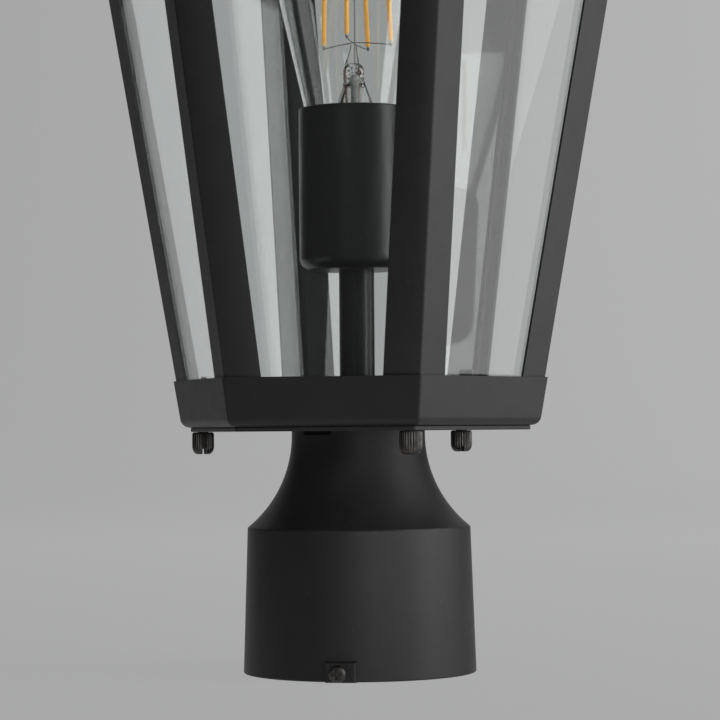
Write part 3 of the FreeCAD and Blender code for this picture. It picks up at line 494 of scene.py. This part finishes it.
MATERIALS = {
    "black_powder_coat": powder_coat("black_powder_coat"),
    "black_oxide_steel": black_oxide(),
    "zinc_steel": zinc("zinc_steel"),
    "green_ground_screw": green_screw(),
    "brass": brass(),
    "white_porcelain": porcelain(),
    "pane_glass": glass("pane_glass", (0.950, 0.968, 0.961), 1.50, 0.0015 * MM),
    "bulb_glass": glass("bulb_glass", (0.985, 0.99, 0.985), 1.48, 0.0015 * MM),
    "nickel_cap": zinc("nickel_cap", (0.72, 0.70, 0.66)),
    "black_vitrite": black_vitrite(),
    "solder": zinc("solder", (0.52, 0.52, 0.53)),
    "filament_phosphor": phosphor(),
    "support_wire": zinc("support_wire", (0.40, 0.37, 0.34)),
}
SLOT_OF = {part["node"]: part["material_slot"] for part in frame["record"]["subparts"]}
for node_name, node in NODES.items():
    dress(node, MATERIALS[SLOT_OF[node_name]])
# copy of the powder coat for the socket cup and the stem inside the cage: its tint of 0.55 is
# painted shade, and its lower roughness is their smoother finish
SHADED_SMOOTH_COAT = powder_coat("smooth_coat_painted_shade", 0.55, (0.30, 0.34))
for node_name in ("socket_cup", "stem_tube"):
    dress(NODES[node_name], SHADED_SMOOTH_COAT)


# ---------------------------------------------------------------- inside the bulb

def bulb_point(x, depth, z):
    """A place in mm, told to the camera's right, away from the camera and up."""
    right = Vector((math.cos(CAM_AZIMUTH), math.sin(CAM_AZIMUTH), 0))
    ahead = Vector((-math.sin(CAM_AZIMUTH), math.cos(CAM_AZIMUTH), 0))
    return (right * x + ahead * depth + Vector((0, 0, z))) * MM


def curved(start, end, sag):
    """Points from start to end that sag in the middle, in mm."""
    points = []
    for k in range(ARM_POINTS):
        share = k / (ARM_POINTS - 1)
        x, depth, z = (a + (b - a) * share for a, b in zip(start, end))
        points.append(bulb_point(x, depth, z - sag * math.sin(math.pi * share)))
    return points


def wire(points):
    return swept("wire", points, WIRE_R * MM, 8)


def filament_rods():
    rods = []
    for foot, head in FILAMENTS:
        low = bulb_point(*foot)
        high = bulb_point(*head)
        points = []
        radii = []
        for share, width in ROD_PROFILE:
            points.append(low.lerp(high, share))
            radii.append(FILAMENT_R * width * MM)
        rods.append(swept("rod", points, radii, 16))
    return joined("filament_rods", rods)


def filament_ends():
    """A short dark tab and a pale bead at each end of each rod."""
    tabs = []
    beads = []
    for number, (foot, head) in enumerate(FILAMENTS):
        for end, other in ((foot, head), (head, foot)):
            away = (bulb_point(*end) - bulb_point(*other)).normalized()
            start = bulb_point(*end)
            points = [start + away * past * MM for past, radius in TAB_PROFILE]
            tabs.append(swept("tab", points, [radius * MM for past, radius in TAB_PROFILE], 8))
            size = BEAD_SIZES[number % 2]
            middle = start - away * BEAD_SINK * MM
            points = [middle + away * share * size * MM for share in (-1, -0.6, 0, 0.6, 1)]
            shoulder = 0.8 * size
            radii = [r * MM for r in (BEAD_TIP_R, shoulder, size, shoulder, BEAD_TIP_R)]
            beads.append(swept("bead", points, radii, 12))
    return joined("filament_tabs", tabs), joined("filament_beads", beads)


def support_frame():
    """The wire up the middle and the arms that hold the rods' ends."""
    wires = [wire([bulb_point(0, 0, z) for z in (PRESS_HIGH - 1, 240, HUB_HIGH + 0.4)])]
    for number, (foot, head) in enumerate(FILAMENTS):
        low_foot = (foot[0], foot[1], foot[2] - 1.0)
        high_head = (head[0], head[1], head[2] + 1.0)
        odd = number % 2
        wires.append(wire(curved((0, 0, HUB_LOW + 0.5 * odd), low_foot, 0.25 - 0.4 * odd)))
        wires.append(wire(curved((0, 0, HUB_HIGH), high_head, -0.8)))
    for x, depth in LEAD_PLACES:
        top = (x * 0.35, depth * 0.5, HUB_LOW - 0.4)
        wires.append(wire(curved((x, depth, PRESS_HIGH - 1.5), top, 0.4)))
    return joined("support_frame", wires)


def copper_leads():
    """The two leads that carry the current up through the trumpet to the press."""
    leads = []
    for x, depth in LEAD_PLACES:
        points = [bulb_point(x * 0.9, depth, 183.0), bulb_point(x * 0.8, depth, 200.0),
                  bulb_point(x * 0.9, depth, PRESS_LOW - 1), bulb_point(x, depth, PRESS_HIGH - 2)]
        leads.append(swept("lead", points, LEAD_R * MM, 10))
    return joined("copper_leads", leads)


def trumpet():
    """The flared glass tube that carries the press."""
    inside = [(radius - TRUMPET_WALL, z - 0.05) for radius, z in reversed(TRUMPET_PROFILE)]
    return turned_piece("glass_trumpet", TRUMPET_PROFILE + inside, 64, True)


def exhaust_tube():
    return turned_piece("exhaust_tube", EXHAUST_PROFILE, 32)


def press():
    """The pinched end of the trumpet: flat, lumpy, with two small spikes where the wires leave."""
    bm = bmesh.new()
    right = bulb_point(1, 0, 0).normalized()
    ahead = bulb_point(0, 1, 0).normalized()
    rings = []
    for level in range(PRESS_LEVELS + 1):
        share = level / PRESS_LEVELS
        z = PRESS_LOW + (PRESS_HIGH - PRESS_LOW) * share
        close = math.sqrt(max(0.0, 1 - max(0.0, (share - 0.72) / 0.28) ** 2))
        wide = (3.9 - 0.5 * share) * (0.25 + 0.75 * close)
        deep = (2.9 - 1.3 * min(1.0, share * 2)) * (0.25 + 0.75 * close)
        verts = []
        for k in range(PRESS_SIDES):
            turn = 2 * math.pi * k / PRESS_SIDES
            spot = Vector((wide * math.cos(turn), deep * math.sin(turn), z))
            lump = 1 + 0.16 * noise.noise(spot * 0.9) + 0.07 * noise.noise(spot * 2.3)
            place = right * (spot.x * lump - 0.4) + ahead * (spot.y * lump) + Vector((0, 0, z))
            verts.append(bm.verts.new(place * MM))
        rings.append(verts)
    for low, high in zip(rings, rings[1:]):
        bridge(bm, low, high)
    bm.faces.new(list(reversed(rings[0])))
    bm.faces.new(rings[-1])
    body = from_bmesh("press_body", bm)
    shade_smooth(body.data, math.radians(70))
    spikes = []
    for x, top in PRESS_SPIKES:
        points = [bulb_point(x, 0, z) for z in (PRESS_HIGH - 1.6, PRESS_HIGH - 0.4, top)]
        spikes.append(swept("spike", points, [0.9 * MM, 0.75 * MM, 0.12 * MM], 12))
    return joined("glass_press", [body] + spikes)


def press_bubbles():
    """Small bubbles caught in the press."""
    bubbles = []
    up = Vector((0, 0, 1))
    for k in range(BUBBLES):
        x = -0.4 + 2.8 * math.sin(k * 2.4) * (0.35 + 0.65 * ((k * 7) % BUBBLES) / BUBBLES)
        depth = 0.8 * math.cos(k * 1.7)
        z = PRESS_LOW + 0.8 + 7.2 * ((k * 11) % BUBBLES) / BUBBLES
        size = 0.22 + 0.20 * ((k * 3) % 7) / 7
        middle = bulb_point(x, depth, z)
        turns = [math.radians(a) for a in (-88, -50, 0, 50, 88)]
        points = [middle + up * size * MM * math.sin(turn) for turn in turns]
        radii = [max(0.02, size * math.cos(turn)) * MM for turn in turns]
        bubbles.append(swept("bubble", points, radii, 10))
    return joined("press_bubbles", bubbles)


def dress_bulb():
    tabs, beads = filament_ends()
    glass_look = MATERIALS["bulb_glass"]
    wire_look = MATERIALS["support_wire"]
    rod_look = MATERIALS["filament_phosphor"]
    placed(filament_rods(), "bulb", "filament_phosphor", rod_look, "filaments")
    placed(beads, "bulb", "filament_phosphor", pale_bead())
    placed(tabs, "bulb", "support_wire", wire_look)
    placed(support_frame(), "bulb", "support_wire", wire_look, "support_wires")
    placed(copper_leads(), "bulb", "support_wire", copper())
    placed(trumpet(), "bulb", "bulb_glass", glass_look, "glass_mount")
    placed(exhaust_tube(), "bulb", "bulb_glass", milky_glass())
    placed(press(), "bulb", "bulb_glass", glass_look)
    placed(press_bubbles(), "bulb", "bulb_glass", bubble())


dress_bulb()


# ---------------------------------------------------------------- thumb nuts and a clip's tab

def cut_by(piece, cutter):
    """Takes the cutter out of the piece for good."""
    modifier = piece.modifiers.new("cut", "BOOLEAN")
    modifier.operation = "DIFFERENCE"
    modifier.solver = "EXACT"
    modifier.object = cutter
    graph = bpy.context.evaluated_depsgraph_get()
    mesh = bpy.data.meshes.new_from_object(piece.evaluated_get(graph))
    piece.modifiers.clear()
    piece.data = mesh
    bpy.data.objects.remove(cutter)


def block(name, low, high, turn, centre=(0, 0, 0)):
    """A box in mm, turned about Z and then moved to its centre."""
    bm = bmesh.new()
    bmesh.ops.create_cube(bm, size=1.0)
    spin = Matrix.Rotation(turn, 3, "Z")
    for vert in bm.verts:
        spot = Vector([a + (b - a) * (c + 0.5) for a, b, c in zip(low, high, vert.co)])
        vert.co = (spin @ spot + Vector(centre)) * MM
    return from_bmesh(name, bm)


def thumb_nut(number, place, slot_turn):
    """A knurled nut whose lower end is well rounded and slotted."""
    centre = polar(STUD_CIRCLE_R, math.radians(place), NUT_FOOT)
    sides = KNURLS * KNURL_STEPS
    bm = bmesh.new()
    rings = []
    for radius, z in NUT_PROFILE + [(NUT_BORE_R, NUT_H), (NUT_BORE_R, 0.0)]:
        knurl_d = KNURL_D if radius > KNURLED_OVER_R else 0.0
        verts = []
        for k in range(sides):
            turn = 2 * math.pi * k / sides
            dent = knurl_d * (0.5 + 0.5 * math.cos(KNURLS * turn))
            verts.append(bm.verts.new((polar(radius - dent, turn, z) + centre) * MM))
        rings.append(verts)
    for low, high in zip(rings, rings[1:] + rings[:1]):
        bridge(bm, low, high)
    bmesh.ops.recalc_face_normals(bm, faces=bm.faces)
    nut = from_bmesh("thumb_nut_look_%d" % number, bm)
    slot = block("slot", (-SLOT_HALF, -SLOT_W / 2, -1), (SLOT_HALF, SLOT_W / 2, SLOT_D),
                 CAM_AZIMUTH + math.radians(90 + slot_turn), centre)
    cut_by(nut, slot)
    shade_smooth(nut.data)
    body = "thumb_nut_%d_body" % number
    look = MATERIALS["black_oxide_steel"]
    placed(nut, body, "black_oxide_steel", look, "thumb_nut_%d" % number)


def clip_tab_top():
    """The upper end of one clip's tab, which stands higher over the tray's rim than the others."""
    tab = block("clip_tab_top", *CLIP_TAB, CLIP_TURN)
    placed(tab, "cage", "black_powder_coat", MATERIALS["black_powder_coat"])


for nut_place in NUT_PLACES:
    thumb_nut(*nut_place)
clip_tab_top()


# ---------------------------------------------------------------- soft edges on the sheet parts

def soften_edges(node):
    """Small rounds on a CAD node's sharp edges, so that they catch the light."""
    weld = node.modifiers.new("weld", "WELD")
    weld.merge_threshold = SHEET_WELD
    flat = node.modifiers.new("flat", "DECIMATE")
    flat.decimate_type = "DISSOLVE"
    flat.angle_limit = SHEET_FLAT_UNDER
    bevel = node.modifiers.new("bevel", "BEVEL")
    bevel.limit_method = "ANGLE"
    bevel.angle_limit = SHEET_SHARP_OVER
    bevel.width = SHEET_BEVEL
    bevel.segments = 2
    bevel.use_clamp_overlap = True
    bevel.harden_normals = True


for node_name in SHEET_NODES:
    soften_edges(NODES[node_name])


# ---------------------------------------------------------------- camera

def camera_axes():
    """The camera's right, up and forward directions."""
    right = Vector((math.cos(CAM_AZIMUTH), math.sin(CAM_AZIMUTH), 0))
    ahead = Vector((-math.sin(CAM_AZIMUTH), math.cos(CAM_AZIMUTH), 0))
    up = Vector((0, 0, 1))
    level = ahead * math.cos(CAM_PAN) + right * math.sin(CAM_PAN)
    forward = level * math.cos(CAM_PITCH) + up * math.sin(CAM_PITCH)
    flat_right = right * math.cos(CAM_PAN) - ahead * math.sin(CAM_PAN)
    flat_up = flat_right.cross(forward)
    rolled_right = flat_right * math.cos(CAM_ROLL) + flat_up * math.sin(CAM_ROLL)
    rolled_up = flat_up * math.cos(CAM_ROLL) - flat_right * math.sin(CAM_ROLL)
    return rolled_right, rolled_up, forward


def add_camera():
    right, up, forward = camera_axes()
    turn = Matrix((right, up, -forward)).transposed().to_4x4()
    place = Vector((math.sin(CAM_AZIMUTH), -math.cos(CAM_AZIMUTH), 0)) * CAM_DISTANCE
    place.z = CAM_HEIGHT
    data = bpy.data.cameras.new("camera")
    data.sensor_fit = "HORIZONTAL"
    data.sensor_width = SENSOR_MM
    data.lens = FOCAL_PIXELS / FRAME_PIXELS * SENSOR_MM
    data.clip_start = 0.01
    data.clip_end = 50
    camera = bpy.data.objects.new("camera", data)
    bpy.context.scene.collection.objects.link(camera)
    camera.matrix_world = Matrix.Translation(place) @ turn
    bpy.context.scene.camera = camera


add_camera()


# ---------------------------------------------------------------- studio

def seen_rays(surface):
    """1 for the rays that show a thing to the eye, straight, mirrored or through glass."""
    path = surface.node("ShaderNodeLightPath")
    seen = path.outputs["Is Camera Ray"]
    for name in ("Is Glossy Ray", "Is Transmission Ray"):
        either = surface.node("ShaderNodeMath", operation="MAXIMUM")
        surface.link(seen, either.inputs[0])
        surface.link(path.outputs[name], either.inputs[1])
        seen = either.outputs["Value"]
    return seen


def stage_paper():
    """Pale paper with painted light: a little brighter to the right and darker near the camera."""
    surface = Surface("stage_paper", Roughness=0.9)
    surface.shader.inputs["Specular IOR Level"].default_value = 0.0
    turn = surface.node("ShaderNodeMapping", vector_type="TEXTURE")
    turn.inputs["Rotation"].default_value = (0, 0, CAM_AZIMUTH)
    surface.link(surface.coordinates, turn.inputs["Vector"])
    parts = surface.node("ShaderNodeSeparateXYZ")
    surface.link(turn.outputs["Vector"], parts.inputs["Vector"])
    across = surface.scaled(parts.outputs["X"], 0, 1, -PAPER_HALF, PAPER_HALF)
    depth = surface.scaled(parts.outputs["Y"], 0, 1, *PAPER_DEPTHS)
    # painted light from the shaded left to the lit right, multiplied by painted shade near the
    # camera
    paper = surface.ramp(across, [(0.0, PAPER_SHADED_LEFT), (1.0, PAPER_LIT_RIGHT)])
    shade = surface.ramp(depth, [(0.0, (PAPER_NEAR,) * 3), (1.0, (1, 1, 1))])
    both = surface.node("ShaderNodeMix", data_type="RGBA", blend_type="MULTIPLY")
    both.inputs[0].default_value = 1.0
    surface.link(paper, both.inputs[6])
    surface.link(shade, both.inputs[7])
    surface.link(both.outputs[2], surface.shader.inputs["Base Color"])
    glow = surface.node("ShaderNodeEmission")
    surface.link(both.outputs[2], glow.inputs["Color"])
    share = surface.node("ShaderNodeMath", operation="MULTIPLY")
    surface.link(seen_rays(surface), share.inputs[0])
    share.inputs[1].default_value = PAPER_GLOW
    mix = surface.node("ShaderNodeMixShader")
    surface.link(share.outputs["Value"], mix.inputs[0])
    surface.link(surface.shader.outputs["BSDF"], mix.inputs[1])
    surface.link(glow.outputs["Emission"], mix.inputs[2])
    surface.link(mix.outputs["Shader"], surface.output.inputs["Surface"])
    return surface.material


def sweep_sides(depth):
    """How far the sweep reaches to the left and to the right, at a depth."""
    spread_depth = min(max(0.0, depth), SPREAD_TO)
    left, right = (SWEEP_HALF + spread * spread_depth for spread in SWEEP_SPREAD)
    if depth > SPREAD_TO:
        left, right = (side * depth / SPREAD_TO for side in (left, right))
    return left, right


def add_sweep():
    """Floor, cove and back wall in one sheet, square to the camera."""
    section = [(depth, 0.0) for depth in (FLOOR_FRONT, 0.0, SPREAD_TO, WALL_AT - COVE_R)]
    for k in range(1, COVE_STEPS + 1):
        turn = math.pi / 2 * k / COVE_STEPS
        section.append((WALL_AT - COVE_R + COVE_R * math.sin(turn), COVE_R * (1 - math.cos(turn))))
    section.append((WALL_AT, WALL_HEIGHT))
    bm = bmesh.new()
    spin = Matrix.Rotation(CAM_AZIMUTH, 3, "Z")
    rows = []
    for depth, height in section:
        left, right = sweep_sides(depth)
        rows.append([bm.verts.new(spin @ Vector((x, depth, height))) for x in (-left, right)])
    for low, high in zip(rows, rows[1:]):
        bm.faces.new((low[0], low[1], high[1], high[0]))
    sweep = from_bmesh("sweep", bm)
    for polygon in sweep.data.polygons:
        polygon.use_smooth = True
    dress(sweep, stage_paper())


def add_lamp(name, azimuth, elevation, distance, size, radiance, through_glass):
    """A rectangular soft box that faces the lantern."""
    turn = CAM_AZIMUTH + math.radians(azimuth)
    rise = math.radians(elevation)
    level = math.cos(rise)
    out = Vector((math.sin(turn) * level, -math.cos(turn) * level, math.sin(rise)))
    data = bpy.data.lights.new(name, "AREA")
    data.shape = "RECTANGLE"
    data.size, data.size_y = size
    data.energy = radiance * math.pi * size[0] * size[1]
    lamp = bpy.data.objects.new(name, data)
    bpy.context.scene.collection.objects.link(lamp)
    lamp.visible_camera = False
    lamp.visible_transmission = through_glass
    facing = out.to_track_quat("Z", "Y").to_matrix().to_4x4()
    lamp.matrix_world = Matrix.Translation(out * distance + LAMP_AIM) @ facing


def add_world():
    """A grey that is seen straight or through glass, and a dimmer one that lights the part."""
    world = bpy.data.worlds.new("studio")
    world.use_nodes = True
    tree = world.node_tree
    path = tree.nodes.new("ShaderNodeLightPath")
    bounces = tree.nodes.new("ShaderNodeMath")
    bounces.operation = "ADD"
    tree.links.new(path.outputs["Glossy Depth"], bounces.inputs[0])
    tree.links.new(path.outputs["Diffuse Depth"], bounces.inputs[1])
    level = tree.nodes.new("ShaderNodeMapRange")
    level.inputs["To Min"].default_value = WORLD_SEEN
    level.inputs["To Max"].default_value = WORLD_LIGHT
    tree.links.new(bounces.outputs["Value"], level.inputs["Value"])
    background = tree.nodes["Background"]
    background.inputs["Color"].default_value = (1, 1, 1, 1)
    tree.links.new(level.outputs["Result"], background.inputs["Strength"])
    bpy.context.scene.world = world


add_sweep()
for lamp_values in LAMPS:
    add_lamp(*lamp_values)
add_world()

bpy.context.scene.view_settings.view_transform = "Standard"
